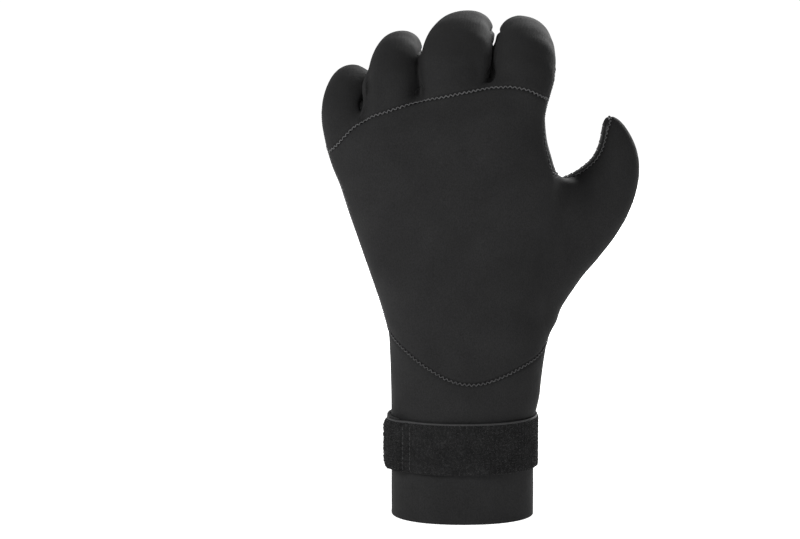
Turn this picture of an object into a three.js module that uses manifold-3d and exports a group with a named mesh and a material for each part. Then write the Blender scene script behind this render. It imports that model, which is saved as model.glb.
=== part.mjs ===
// A left-hand diving glove of 3 mm foam rubber, as it stands when a hand fills it.
// Millimetres. +Z runs up the hand from the wrist opening, +X points to the thumb, and +Y is the palm's side.
// The origin is the middle of the wrist opening.
import * as THREE from "three";
import { mergeVertices } from "three/addons/utils/BufferGeometryUtils.js";
import Module from "manifold-3d";

// Driving dimensions
const wall = 3;
const seamGap = 0.3;
const palmWidth = 104;
const palmHeight = 206;
const handDepth = 54;
const cuffWidth = 68;
const fingerLength = 104;
const fingerWidth = 33;
const fingerDepth = 25;
const fingerRound = 11;
const fingerCurl = 90;
const thumbWidth = 30;
const thumbDepth = 34;
const thumbReach = 44.2;
const thumbRise = 94.5;
const thumbLift = 24;
const strapWidth = 25;
const strapRise = 24;
const loopStrapThickness = 1.8;
const elasticThickness = 1.5;
const tabThickness = 1.4;
const strapGap = 0.35;
const strapCorner = 6;

// Mesh density
const palmSides = 32;
const palmRings = 15;
const fingerSides = 14;
const fingerRings = 13;
const thumbSides = 17;
const thumbRings = 13;
const webSides = 12;
const webRings = 8;
const loopStations = 42;
const elasticStations = 24;
const tabStations = 16;
const far = 140;

// The hand and cuff without the digits, from the wrist opening up. Heights are shares of palmHeight, left and right
// are shares of palmWidth either side of the middle, back and front are shares of handDepth, and tilt leans the
// top rows down towards the little finger.
const palmTable = [
  { up: 0.0, left: 0.325, right: 0.331, back: 0.5, front: 0.5, square: 2.2, tilt: 0.0 },
  { up: 0.27, left: 0.325, right: 0.331, back: 0.5, front: 0.5, square: 2.2, tilt: 0.0 },
  { up: 0.37, left: 0.331, right: 0.352, back: 0.49, front: 0.48, square: 2.2, tilt: 0.0 },
  { up: 0.44, left: 0.341, right: 0.378, back: 0.475, front: 0.48, square: 2.2, tilt: 0.0 },
  { up: 0.55, left: 0.41, right: 0.42, back: 0.46, front: 0.46, square: 2.3, tilt: 0.0 },
  { up: 0.65, left: 0.48, right: 0.44, back: 0.455, front: 0.41, square: 2.3, tilt: 0.0 },
  { up: 0.73, left: 0.533, right: 0.45, back: 0.46, front: 0.35, square: 2.4, tilt: 0.01 },
  { up: 0.78, left: 0.56, right: 0.44, back: 0.462, front: 0.31, square: 2.5, tilt: 0.03 },
  { up: 0.835, left: 0.58, right: 0.39, back: 0.462, front: 0.26, square: 2.7, tilt: 0.08 },
  { up: 0.885, left: 0.59, right: 0.376, back: 0.457, front: 0.2, square: 2.9, tilt: 0.13 },
  { up: 0.93, left: 0.585, right: 0.365, back: 0.446, front: 0.13, square: 2.9, tilt: 0.17 },
  { up: 0.975, left: 0.56, right: 0.335, back: 0.418, front: 0.04, square: 2.7, tilt: 0.21 },
  { up: 1.0, left: 0.52, right: 0.29, back: 0.36, front: -0.06, square: 2.5, tilt: 0.24 },
];

// The four fingers. across, deep and up are where the centre line starts inside the palm, as shares of palmWidth,
// handDepth and palmHeight. long and wide are shares of fingerLength, along the centre line, and fingerWidth. splay
// leans a finger in the plane of the hand and turn swings its curl towards the thumb. ulnar and radial are how far
// its own panels reach past its two sides where the fingers join, as shares of fingerWidth.
const fingerShares = [
  { name: "little", across: -0.476, deep: -0.056, up: 0.76, long: 0.76, wide: 0.7, ulnar: 0.242, radial: 0.012 },
  { name: "ring", across: -0.285, deep: -0.185, up: 0.7985, long: 0.933, wide: 0.75, ulnar: 0.012, radial: 0.036 },
  { name: "middle", across: -0.026, deep: -0.231, up: 0.825, long: 1.0, wide: 1.0, ulnar: 0.036, radial: 0.0 },
  { name: "index", across: 0.178, deep: -0.194, up: 0.83, long: 0.942, wide: 0.9, ulnar: 0.076, radial: 0.242 },
];
const fingerAngles = {
  little: { splay: -12.5, turn: 12, curl: 0.94 },
  ring: { splay: -6.5, turn: 9, curl: 1.0 },
  middle: { splay: -5, turn: 12, curl: 1.0 },
  index: { splay: 14.3, turn: -4, curl: 0.97 },
};
const fingers = fingerShares.map((share) => ({
  ...share,
  ...fingerAngles[share.name],
  root: [share.across * palmWidth, share.deep * handDepth, share.up * palmHeight],
  length: share.long * fingerLength,
  width: share.wide * fingerWidth,
}));

// How a finger bends and tapers: along is a share of its length, bend a share of its curl, and side and deep are
// shares of its half width and half depth.
const fingerTable = [
  { along: 0.0, bend: 0.0, side: 0.55, deep: 0.5 },
  { along: 0.16, bend: 0.07, side: 0.83, deep: 0.85 },
  { along: 0.34, bend: 0.18, side: 0.94, deep: 1.0 },
  { along: 0.46, bend: 0.46, side: 1.0, deep: 0.99 },
  { along: 0.56, bend: 0.68, side: 0.99, deep: 0.95 },
  { along: 0.68, bend: 0.78, side: 0.93, deep: 0.9 },
  { along: 0.8, bend: 0.97, side: 0.84, deep: 0.86 },
  { along: 1.0, bend: 1.03, side: 0.79, deep: 0.82 },
];

// The thumb, whose sections cross a line from its root to its tip: along is a share of that line, inner and outer
// are shares of thumbWidth either side of it, lift a share of thumbLift and deep a share of half of thumbDepth.
const thumbRoot = { x: 0.248 * palmWidth, z: 0.466 * palmHeight };
const thumbTable = [
  { along: -0.1, inner: -0.4, outer: 0.42, lift: 0.1, deep: 0.85 },
  { along: 0.0, inner: -0.5, outer: 0.56, lift: 0.18, deep: 1.0 },
  { along: 0.12, inner: -0.55, outer: 0.61, lift: 0.25, deep: 1.06 },
  { along: 0.25, inner: -0.58, outer: 0.67, lift: 0.34, deep: 1.08 },
  { along: 0.39, inner: -0.6, outer: 0.82, lift: 0.46, deep: 1.04 },
  { along: 0.53, inner: -0.55, outer: 0.945, lift: 0.6, deep: 0.95 },
  { along: 0.63, inner: -0.36, outer: 0.985, lift: 0.7, deep: 0.86 },
  { along: 0.7, inner: -0.11, outer: 0.975, lift: 0.78, deep: 0.8 },
  { along: 0.77, inner: 0.055, outer: 0.94, lift: 0.84, deep: 0.75 },
  { along: 0.83, inner: 0.09, outer: 0.87, lift: 0.89, deep: 0.68 },
  { along: 0.89, inner: 0.08, outer: 0.765, lift: 0.93, deep: 0.6 },
  { along: 0.94, inner: 0.03, outer: 0.62, lift: 0.96, deep: 0.5 },
  { along: 0.98, inner: -0.01, outer: 0.44, lift: 0.98, deep: 0.38 },
  { along: 1.01, inner: 0.02, outer: 0.22, lift: 1.0, deep: 0.2 },
];

// The web that carries the back of the hand over to the thumb: from and to are places across as shares of palmWidth,
// deep and half its middle's depth and half its thickness as shares of handDepth.
const webSlope = 26;
const webTable = [
  { up: 0.4, from: 0.2, to: 0.34, deep: -0.06, half: 0.14 },
  { up: 0.48, from: 0.17, to: 0.43, deep: -0.045, half: 0.19 },
  { up: 0.58, from: 0.16, to: 0.57, deep: -0.02, half: 0.21 },
  { up: 0.68, from: 0.18, to: 0.62, deep: 0.01, half: 0.205 },
  { up: 0.735, from: 0.22, to: 0.61, deep: 0.03, half: 0.18 },
  { up: 0.768, from: 0.27, to: 0.57, deep: 0.045, half: 0.15 },
  { up: 0.788, from: 0.34, to: 0.5, deep: 0.055, half: 0.11 },
];

// The seam between cuff and hand: turn is an angle in plan, 0 at the thumb's side and 90 at the palm, and up a
// share of palmHeight.
const wristSeam = [
  { turn: 0, up: 0.415 },
  { turn: 25, up: 0.475 },
  { turn: 55, up: 0.476 },
  { turn: 90, up: 0.466 },
  { turn: 135, up: 0.46 },
  { turn: 180, up: 0.445 },
  { turn: 205, up: 0.412 },
  { turn: 232, up: 0.368 },
  { turn: 260, up: 0.334 },
  { turn: 285, up: 0.327 },
  { turn: 308, up: 0.342 },
  { turn: 335, up: 0.375 },
  { turn: 360, up: 0.415 },
];

// The seam across the knuckles, in shares of palmWidth and palmHeight.
const knuckleSeam = [
  { across: -0.8, up: 0.79 },
  { across: -0.61, up: 0.853 },
  { across: -0.55, up: 0.888 },
  { across: -0.48, up: 0.92 },
  { across: -0.4, up: 0.943 },
  { across: -0.28, up: 0.965 },
  { across: -0.07, up: 0.99 },
  { across: 0.07, up: 1.003 },
  { across: 0.21, up: 1.01 },
  { across: 0.3, up: 1.0 },
  { across: 0.375, up: 0.98 },
  { across: 0.6, up: 0.94 },
];

// Where the palm panel ends against the back panel: ulnar and radial are the depths of the side seams as shares of
// handDepth, thumb the depth of the seam on the thumb's inner edge as a share of thumbLift, and outer the seam on
// the thumb's palm face as a share of palmWidth.
const sideSeam = [
  { up: 0.25, ulnar: 0.0, radial: 0.0, thumb: 0.1, outer: 0.36 },
  { up: 0.43, ulnar: -0.01, radial: 0.0, thumb: 0.1, outer: 0.38 },
  { up: 0.5, ulnar: -0.02, radial: -0.02, thumb: 0.12, outer: 0.41 },
  { up: 0.54, ulnar: -0.03, radial: -0.03, thumb: 0.15, outer: 0.46 },
  { up: 0.59, ulnar: -0.04, radial: -0.05, thumb: 0.2, outer: 0.54 },
  { up: 0.645, ulnar: -0.06, radial: -0.08, thumb: 0.3, outer: 0.62 },
  { up: 0.705, ulnar: -0.07, radial: -0.12, thumb: 0.42, outer: 0.685 },
  { up: 0.76, ulnar: -0.06, radial: -0.16, thumb: 0.52, outer: 0.73 },
  { up: 0.81, ulnar: -0.04, radial: -0.18, thumb: 0.6, outer: 0.75 },
  { up: 0.862, ulnar: -0.01, radial: -0.18, thumb: 0.68, outer: 0.742 },
];
const thumbTipSeam = [
  { up: 0.862, thumb: 0.68, outer: 0.742 },
  { up: 0.9, thumb: 0.76, outer: 0.715 },
  { up: 0.925, thumb: 0.82, outer: 0.685 },
  { up: 0.96, thumb: 0.88, outer: 0.64 },
];

// The same seam between the fingers' roots, in shares of handDepth at the middle of each finger, and between how much
// further back it lies from one finger to the next. The rows lean down to the little finger with the knuckles.
const crotchSeam = [
  { up: 0.79, little: -0.05, ring: -0.16, middle: -0.21, index: -0.19, between: 0.0 },
  { up: 0.86, little: -0.05, ring: -0.18, middle: -0.225, index: -0.187, between: 0.0 },
  { up: 0.93, little: -0.015, ring: -0.157, middle: -0.2, index: -0.148, between: 0.03 },
  { up: 0.98, little: 0.055, ring: -0.115, middle: -0.16, index: -0.11, between: 0.1 },
  { up: 1.03, little: 0.14, ring: -0.03, middle: -0.083, index: 0.02, between: 0.2 },
];

// The looped panel on the cuff's palm side, in shares of cuffWidth and palmHeight.
const loopPanelOutline = [
  { across: 0.44, up: 0.6 },
  { across: 0.44, up: 0.25 },
  { across: 0.47, up: -0.1 },
  { across: -0.29, up: -0.1 },
  { across: -0.3, up: 0.0 },
  { across: -0.36, up: 0.25 },
  { across: -0.5, up: 0.455 },
  { across: -0.62, up: 0.6 },
];

const wasm = await Module();
wasm.setup();

// A column of a table at any place along it, on a smooth curve through its rows.
function column(rows, place, name, value) {
  const last = rows.length - 1;
  let i = 0;
  while (i < last - 1 && value > rows[i + 1][place]) i += 1;
  const span = rows[i + 1][place] - rows[i][place];
  const t = THREE.MathUtils.clamp((value - rows[i][place]) / span, 0, 1);
  const slope = (k) => {
    const before = rows[Math.max(k - 1, 0)];
    const after = rows[Math.min(k + 1, last)];
    return (after[name] - before[name]) / (after[place] - before[place]);
  };
  const from = rows[i][name];
  const to = rows[i + 1][name];
  const h = t * t * (3 - 2 * t);
  const lead = t * (1 - t) * (1 - t) * slope(i) * span;
  const trail = t * t * (1 - t) * slope(i + 1) * span;
  return from + (to - from) * h + lead - trail;
}

// Even places from one end of a table to the other.
const places = (count, from, to) => Array.from({ length: count }, (_, i) => from + ((to - from) * i) / (count - 1));

// The signed power that squares off a circle: square 2 is an ellipse.
const squared = (value, square) => Math.sign(value) * Math.abs(value) ** (2 / square);

// A closed solid through rings of equal length, each end closed to its own middle.
function skin(rings) {
  const sides = rings[0].length;
  const points = rings.flat();
  const faces = [];
  for (let r = 0; r < rings.length - 1; r += 1) {
    for (let s = 0; s < sides; s += 1) {
      const a = r * sides + s;
      const b = r * sides + ((s + 1) % sides);
      faces.push(a, b, b + sides, a, b + sides, a + sides);
    }
  }
  [rings[0], rings.at(-1)].forEach((ring, end) => {
    const middle = ring.reduce((sum, p) => sum.add(p), new THREE.Vector3()).divideScalar(sides);
    const first = end * (rings.length - 1) * sides;
    points.push(middle);
    for (let s = 0; s < sides; s += 1) {
      const edge = [first + s, first + ((s + 1) % sides)];
      faces.push(points.length - 1, ...(end ? edge : edge.reverse()));
    }
  });
  const geometry = new THREE.BufferGeometry().setFromPoints(points);
  geometry.setIndex(faces);
  return solid(geometry);
}

// A closed three.js geometry as a solid that can be joined and cut.
function solid(geometry) {
  const bare = geometry.clone();
  bare.deleteAttribute("normal");
  bare.deleteAttribute("uv");
  const merged = mergeVertices(bare, 1e-4);
  return new wasm.Manifold(
    new wasm.Mesh({
      numProp: 3,
      vertProperties: merged.attributes.position.array,
      triVerts: new Uint32Array(merged.index.array),
    }),
  );
}

// An outline drawn in X and Z, carried through the whole depth between two values of Y.
function slab(outline, nearY, farY) {
  const shape = new THREE.Shape(outline.map((p) => new THREE.Vector2(p.x, p.z)));
  const geometry = new THREE.ExtrudeGeometry(shape, { depth: farY - nearY, bevelEnabled: false });
  geometry.rotateX(Math.PI / 2);
  geometry.translate(0, farY, 0);
  return solid(geometry);
}

// The cuff and palm, taken in by inset on every side but the open wrist.
function palmForm(inset) {
  const widthOf = (up) =>
    THREE.MathUtils.lerp(cuffWidth / (2 * palmTable[0].left), palmWidth, THREE.MathUtils.smoothstep(up, 0.27, 0.5));
  const sides = inset ? palmSides - 8 : palmSides;
  const rings = places(inset ? palmRings - 4 : palmRings, 0, 1).map((up) => {
    const get = (name) => column(palmTable, "up", name, up);
    const width = widthOf(up);
    const z = up ? up * (palmHeight - inset) : -Math.min(inset, 1);
    return Array.from({ length: sides }, (_, i) => {
      const angle = (2 * Math.PI * i) / sides;
      const c = squared(Math.cos(angle), get("square"));
      const s = squared(Math.sin(angle), get("square"));
      const x = c * (c > 0 ? get("right") * width - inset : get("left") * width - inset);
      const y = s * (s > 0 ? get("front") * handDepth - inset : get("back") * handDepth - inset);
      return new THREE.Vector3(x, y, z + get("tilt") * x);
    });
  });
  return skin(rings);
}

// Places, directions and sizes along one finger's centre line.
function fingerFrames(finger, inset) {
  const splay = THREE.MathUtils.degToRad(finger.splay);
  const turn = THREE.MathUtils.degToRad(finger.turn);
  const rise = new THREE.Vector3(Math.sin(splay), 0, Math.cos(splay));
  const reach = new THREE.Vector3(Math.sin(turn), Math.cos(turn), 0);
  reach.addScaledVector(rise, -reach.dot(rise)).normalize();
  const side = new THREE.Vector3().crossVectors(reach, rise);
  const length = finger.length - inset;
  const round = fingerRound - inset;
  const step = length / 120;
  const spot = new THREE.Vector3(...finger.root);
  const stops = places(fingerRings - (inset ? 6 : 4), 0, length - round);
  [0.45, 0.76, 0.93, 0.995].forEach((share) => stops.push(length - round + round * share));
  const frames = [];
  let gone = 0;
  for (const stop of stops) {
    while (gone < stop) {
      const go = Math.min(step, stop - gone);
      const lean = THREE.MathUtils.degToRad(fingerCurl * finger.curl) * column(fingerTable, "along", "bend", gone / finger.length);
      spot.addScaledVector(rise, Math.cos(lean) * go).addScaledVector(reach, Math.sin(lean) * go);
      gone += go;
    }
    const share = gone / finger.length;
    const lean = THREE.MathUtils.degToRad(fingerCurl * finger.curl) * column(fingerTable, "along", "bend", share);
    const end = Math.max((gone - length + round) / round, 0);
    const close = Math.sqrt(1 - end * end);
    frames.push({
      spot: spot.clone(),
      side,
      palmar: rise.clone().multiplyScalar(-Math.sin(lean)).addScaledVector(reach, Math.cos(lean)),
      ahead: rise.clone().multiplyScalar(Math.cos(lean)).addScaledVector(reach, Math.sin(lean)),
      halfWidth: ((finger.width / 2) * column(fingerTable, "along", "side", share) - inset) * close,
      halfDepth: ((fingerDepth / 2) * column(fingerTable, "along", "deep", share) - inset) * close,
    });
  }
  return frames;
}

function fingerForm(finger, inset) {
  const sides = inset ? fingerSides - 4 : fingerSides;
  const rings = fingerFrames(finger, inset).map((frame) =>
    Array.from({ length: sides }, (_, i) => {
      const angle = (2 * Math.PI * (i + 0.5)) / sides;
      return frame.spot
        .clone()
        .addScaledVector(frame.side, frame.halfWidth * squared(Math.cos(angle), 2.2))
        .addScaledVector(frame.palmar, frame.halfDepth * squared(Math.sin(angle), 2.2));
    }),
  );
  return skin(rings);
}

// The palm's half of a finger, for cutting: all that lies on the palm's side of the seams down its two sides.
function fingerHalf(finger, gap) {
  const margin = 0.5;
  const frames = fingerFrames(finger, 0);
  const last = frames.at(-1);
  const widths = frames.map((frame) => Math.max(frame.halfWidth, finger.width / 3) + margin);
  const depths = frames.map((frame) => Math.max(frame.halfDepth, fingerDepth / 3) + margin);
  const beyond = { ...last, spot: last.spot.clone().addScaledVector(last.ahead, 2 * wall) };
  const rings = [...frames, beyond].map((frame, i) => {
    const k = Math.min(i, frames.length - 1);
    return [
      [-widths[k], -gap],
      [widths[k], -gap],
      [widths[k], depths[k]],
      [-widths[k], depths[k]],
    ].map(([u, v]) => frame.spot.clone().addScaledVector(frame.side, u).addScaledVector(frame.palmar, v));
  });
  return skin(rings);
}

// All that belongs to one finger above its root, grown by gap.
function fingerRegion(finger, gap) {
  const frames = fingerFrames(finger, 0);
  const rows = frames.map((frame, i) => {
    const share = i / (frames.length - 1);
    const root = 1 - THREE.MathUtils.smoothstep(share, 0.24, 0.36);
    const half = Math.max(frame.halfWidth, 0.38 * finger.width);
    const deep = Math.max(frame.halfDepth, 0.4 * fingerDepth);
    const out = 0.5 + gap;
    return {
      frame,
      left: -half - out - root * finger.ulnar * fingerWidth,
      right: half + out + root * finger.radial * fingerWidth,
      back: -deep - out - root * 2 * wall,
      front: deep + out + root * 2 * wall,
    };
  });
  const last = frames.at(-1);
  const beyond = { ...last, spot: last.spot.clone().addScaledVector(last.ahead, 2 * wall) };
  const rings = [...rows, { ...rows.at(-1), frame: beyond }].map(({ frame, left, right, back, front }) =>
    [
      [left, back],
      [right, back],
      [right, front],
      [left, front],
    ].map(([u, v]) => frame.spot.clone().addScaledVector(frame.side, u).addScaledVector(frame.palmar, v)),
  );
  return skin(rings);
}

function thumbForm(inset) {
  const line = new THREE.Vector3(thumbReach, 0, thumbRise);
  const length = line.length();
  const up = line.clone().normalize();
  const out = new THREE.Vector3(up.z, 0, -up.x);
  const root = new THREE.Vector3(thumbRoot.x, 0, thumbRoot.z);
  const from = thumbTable[0].along;
  const to = thumbTable.at(-1).along - (1.6 * inset) / length;
  const sides = inset ? thumbSides - 4 : thumbSides;
  const rings = places(inset ? thumbRings - 3 : thumbRings, 0, 1).map((share) => {
    const eased = from + (to - from) * (1 - (1 - share) ** 1.5);
    const get = (name) => column(thumbTable, "along", name, eased);
    const inner = get("inner") * thumbWidth + inset;
    const outer = get("outer") * thumbWidth - inset;
    const half = Math.max((outer - inner) / 2, 0.6);
    const deep = Math.max((get("deep") * thumbDepth) / 2 - inset, 0.6);
    const middle = root
      .clone()
      .addScaledVector(up, eased * length)
      .addScaledVector(out, (outer + inner) / 2)
      .setY(get("lift") * thumbLift);
    return Array.from({ length: sides }, (_, i) => {
      const angle = (2 * Math.PI * i) / sides;
      return middle
        .clone()
        .addScaledVector(out, half * squared(Math.cos(angle), 2.1))
        .add(new THREE.Vector3(0, deep * squared(Math.sin(angle), 2.1), 0));
    });
  });
  return skin(rings);
}

function webForm(inset) {
  const slope = THREE.MathUtils.degToRad(webSlope);
  const across = new THREE.Vector3(Math.cos(slope), Math.sin(slope), 0);
  const through = new THREE.Vector3(-Math.sin(slope), Math.cos(slope), 0);
  const first = webTable[0].up;
  const last = webTable.at(-1).up - inset / palmHeight;
  const rings = places(webRings, first, last).map((up) => {
    const get = (name) => column(webTable, "up", name, up);
    const middle = new THREE.Vector3(((get("from") + get("to")) / 2) * palmWidth, get("deep") * handDepth, up * palmHeight);
    const reach = Math.max((((get("to") - get("from")) / 2) * palmWidth) / Math.cos(slope) - inset, 1);
    const half = Math.max(get("half") * handDepth - inset, 0.8);
    return Array.from({ length: webSides }, (_, i) => {
      const angle = (2 * Math.PI * i) / webSides;
      return middle
        .clone()
        .addScaledVector(across, reach * squared(Math.cos(angle), 2.4))
        .addScaledVector(through, half * squared(Math.sin(angle), 2.4));
    });
  });
  return skin(rings);
}

// Everything below the wrist seam, raised by lift.
function belowWrist(lift) {
  const turns = places(49, 0, 360).slice(0, -1);
  const ring = (radius, heightOf) =>
    turns.map((turn) => {
      const angle = THREE.MathUtils.degToRad(turn);
      return new THREE.Vector3(radius * Math.cos(angle), radius * Math.sin(angle), heightOf(turn));
    });
  const seam = (turn) => column(wristSeam, "turn", "up", turn) * palmHeight + lift;
  return skin([
    ring(far, () => -far / 4),
    ring(far, seam),
    ring(0.78 * cuffWidth, seam),
    ring(0.3 * cuffWidth, seam),
    ring(0.1 * cuffWidth, seam),
  ]);
}

// Everything on the palm's side of the side seams, grown by gap.
function palmSide(gap) {
  const split = 0.46 * palmWidth;
  const ring = (row, line) => line.map(([x, y]) => new THREE.Vector3(x, y - gap, row.up * palmHeight));
  const hand = skin(
    sideSeam.map((row) =>
      ring(row, [
        [row.outer * palmWidth + gap, far],
        [-far, far],
        [-far, row.ulnar * handDepth],
        [0.2 * palmWidth, row.radial * handDepth],
        [0.3 * palmWidth, row.radial * handDepth],
        [Math.min(split, 0.9 * row.outer * palmWidth), row.thumb * thumbLift],
        [row.outer * palmWidth + gap, row.thumb * thumbLift],
      ]),
    ),
  );
  const tip = skin(
    thumbTipSeam.map((row) =>
      ring(row, [
        [row.outer * palmWidth + gap, far],
        [split, far],
        [split, row.thumb * thumbLift],
        [row.outer * palmWidth + gap, row.thumb * thumbLift],
      ]),
    ),
  );
  const lean = palmTable.at(-1).tilt;
  const crotch = skin(
    crotchSeam.map((row) =>
      [
        [0.45, 1.3],
        [-0.75, 1.3],
        [-0.75, row.little],
        [-0.52, row.little],
        [-0.44, (row.little + row.ring) / 2 - row.between],
        [-0.31, row.ring],
        [-0.17, (row.ring + row.middle) / 2 - row.between],
        [-0.03, row.middle],
        [0.12, (row.middle + row.index) / 2 - row.between],
        [0.24, row.index],
        [0.45, row.index],
      ].map(([across, deep]) => {
        const x = across * palmWidth;
        const rise = lean * Math.min(x, 0.12 * palmWidth) + (row === crotchSeam.at(-1) ? gap : 0);
        return new THREE.Vector3(x, deep * handDepth - gap, row.up * palmHeight + rise);
      }),
    ),
  );
  return join([hand, tip, crotch, ...fingers.map((finger) => fingerHalf(finger, gap))]);
}

// The part above the knuckle seam, raised by lift.
function aboveKnuckles(lift) {
  const seam = places(19, knuckleSeam[0].across, knuckleSeam.at(-1).across).map((across) => ({
    x: across * palmWidth,
    z: column(knuckleSeam, "across", "up", across) * palmHeight + lift,
  }));
  return slab([...seam, { x: far, z: 2 * palmHeight }, { x: -far, z: 2 * palmHeight }], -far, far);
}

// The part above the line where the fingers' fronts leave the palm, raised by lift.
function aboveCrotches(lift) {
  const lean = palmTable.at(-1).tilt;
  const line = [-far, far].map((x) => ({ x, z: 1.006 * palmHeight + lean * x + lift }));
  return slab([...line, { x: far, z: 2 * palmHeight }, { x: -far, z: 2 * palmHeight }], -far, far);
}

// The part beyond the thumb's root, grown by gap.
const thumbSplit = 0.45 * palmWidth;
function beyondThumbRoot(gap) {
  const near = thumbSplit - gap;
  const outline = [
    { x: near, z: 0 },
    { x: far, z: 0 },
    { x: far, z: palmHeight },
    { x: near, z: palmHeight },
  ];
  return slab(outline, -far, far);
}

// A point on the cuff's outline in plan, that far outside it.
function cuffPoint(turn, offset) {
  const angle = THREE.MathUtils.degToRad(turn);
  return new THREE.Vector2(
    (cuffWidth / 2 + 0.5 + offset) * squared(Math.cos(angle), palmTable[0].square),
    (palmTable[0].back * handDepth + offset) * squared(Math.sin(angle), palmTable[0].square),
  );
}

// A strip round the cuff between two turns, with rounded corners at the ends it is told to round.
function strip({ from, to, stations, thickness, offsetAt, bottom, height, roundStart, roundEnd }) {
  const girth = (cuffWidth + handDepth) / 4;
  const arc = (degrees) => THREE.MathUtils.degToRad(degrees) * girth;
  const rings = places(stations, 0, 1).map((share) => {
    const eased = share - Math.sin(2 * Math.PI * share) / (4 * Math.PI);
    const turn = from + (to - from) * eased;
    const corner = (distance) => strapCorner - Math.sqrt(strapCorner ** 2 - (strapCorner - Math.min(distance, strapCorner)) ** 2);
    const cut = Math.max(
      roundStart ? corner(arc(turn - from)) : 0,
      roundEnd ? corner(arc(to - turn)) : 0,
    );
    const inner = offsetAt(turn);
    const low = bottom + cut;
    const high = bottom + height - cut;
    return [
      [inner, low],
      [inner + thickness, low],
      [inner + thickness, high],
      [inner, high],
    ].map(([offset, z]) => {
      const p = cuffPoint(turn, offset);
      return new THREE.Vector3(p.x, p.y, z);
    }).reverse();
  });
  return skin(rings);
}

const ramp = (value, from, to) => THREE.MathUtils.smoothstep(value, from, to);

// The looped strap: from its free lobe at the little finger's side, over the back, to the palm under the tab.
const lobe = { from: 190, stitch: 217 };
const loopStrapEnd = 360 + 104;
const tabFrom = 57;
const lobeOffset = elasticThickness + strapGap;
const loopStrap = strip({
  from: lobe.from,
  to: loopStrapEnd,
  stations: loopStations,
  thickness: loopStrapThickness,
  bottom: strapRise,
  height: strapWidth,
  roundStart: true,
  roundEnd: false,
  offsetAt: (turn) => strapGap + lobeOffset * (1 - ramp(turn, lobe.stitch - 2, lobe.stitch + 9)),
});

// The ribbed elastic: from under the lobe round the little finger's side to the palm, over the looped strap's end.
const overLoop = (turn) => strapGap + (loopStrapThickness + strapGap) * (1 - ramp(turn, 102, 118));
const elasticStrap = strip({
  from: tabFrom + 24,
  to: lobe.stitch - 5,
  stations: elasticStations,
  thickness: elasticThickness,
  bottom: strapRise,
  height: strapWidth,
  roundStart: false,
  roundEnd: false,
  offsetAt: overLoop,
});

// The hook tab on the elastic's end, with rounded corners.
const hookTab = strip({
  from: tabFrom,
  to: tabFrom + 23.4,
  stations: tabStations,
  thickness: tabThickness,
  bottom: strapRise,
  height: strapWidth,
  roundStart: true,
  roundEnd: false,
  offsetAt: overLoop,
});

// The whole glove as one wall, which the seams then divide into its panels.
const join = (solids) => solids.reduce((all, next) => all.add(next));
const handForm = (inset) =>
  join([palmForm(inset), webForm(inset), thumbForm(inset), ...fingers.map((finger) => fingerForm(finger, inset))]);
const outside = handForm(0);
const inside = handForm(wall);
const glove = outside.subtract(inside);

const cuffWall = glove.intersect(belowWrist(0));
const handWall = glove.subtract(belowWrist(seamGap));
const outlineAt = (gap) =>
  loopPanelOutline.map((p) => ({ x: p.across * cuffWidth + Math.sign(p.across) * gap, z: p.up * palmHeight }));
const loopPanel = cuffWall.intersect(slab(outlineAt(0), 0, far));
const cuff = cuffWall.subtract(slab(outlineAt(seamGap), -seamGap, far));
const frontWall = handWall.intersect(palmSide(0));
const dorsal = handWall.subtract(palmSide(seamGap));
const wholeBack = dorsal.subtract(aboveKnuckles(-seamGap));
const wholePalm = frontWall.subtract(aboveCrotches(-seamGap));
const handBack = wholeBack.subtract(beyondThumbRoot(seamGap));
const palm = wholePalm.subtract(beyondThumbRoot(seamGap));
const thumbBack = wholeBack.intersect(beyondThumbRoot(0));
const thumbFront = wholePalm.intersect(beyondThumbRoot(0));

// Each finger's back and front panel, taken in turn from what the fingers before it have left.
const fingerBacks = {};
const fingerFronts = {};
let backsLeft = dorsal.intersect(aboveKnuckles(0));
let frontsLeft = frontWall.intersect(aboveCrotches(0));
for (const finger of fingers) {
  const own = fingerRegion(finger, 0);
  const taken = fingerRegion(finger, seamGap);
  fingerBacks[finger.name] = backsLeft.intersect(own);
  fingerFronts[finger.name] = frontsLeft.intersect(own);
  backsLeft = backsLeft.subtract(taken);
  frontsLeft = frontsLeft.subtract(taken);
}

const blackJersey = { color: 0x1d1d1e, roughness: 0.85, metalness: 0 };
const blackGrip = { color: 0x161617, roughness: 0.45, metalness: 0 };
const blackLoops = { color: 0x101011, roughness: 1, metalness: 0 };
const blackWebbing = { color: 0x1c1c1d, roughness: 0.75, metalness: 0 };

const group = new THREE.Group();

function place(name, made, look) {
  const cut = made.getMesh();
  const geometry = new THREE.BufferGeometry();
  geometry.setAttribute("position", new THREE.BufferAttribute(new Float32Array(cut.vertProperties), 3));
  geometry.setIndex(new THREE.BufferAttribute(new Uint32Array(cut.triVerts), 1));
  const mesh = new THREE.Mesh(geometry, new THREE.MeshStandardMaterial(look));
  mesh.name = name;
  group.add(mesh);
}

place("hand_back", handBack, blackJersey);
for (const finger of fingers) {
  place(`${finger.name}_finger_back`, fingerBacks[finger.name], blackJersey);
  place(`${finger.name}_finger_front`, fingerFronts[finger.name], blackGrip);
}
place("palm", palm, blackGrip);
place("thumb_back", thumbBack, blackJersey);
place("thumb_front", thumbFront, blackGrip);
place("cuff", cuff, blackJersey);
place("loop_panel", loopPanel, blackLoops);
place("loop_strap", loopStrap, blackLoops);
place("elastic_strap", elasticStrap, blackWebbing);
place("hook_tab", hookTab, blackWebbing);

export default group;
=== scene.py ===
"""Looks for the diving glove: black foam-rubber panels, printed grip, looped straps, stitches and light."""
import math

import bmesh
import bpy
import numpy as np
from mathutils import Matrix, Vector
from mathutils.bvhtree import BVHTree
from mathutils.kdtree import KDTree


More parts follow.
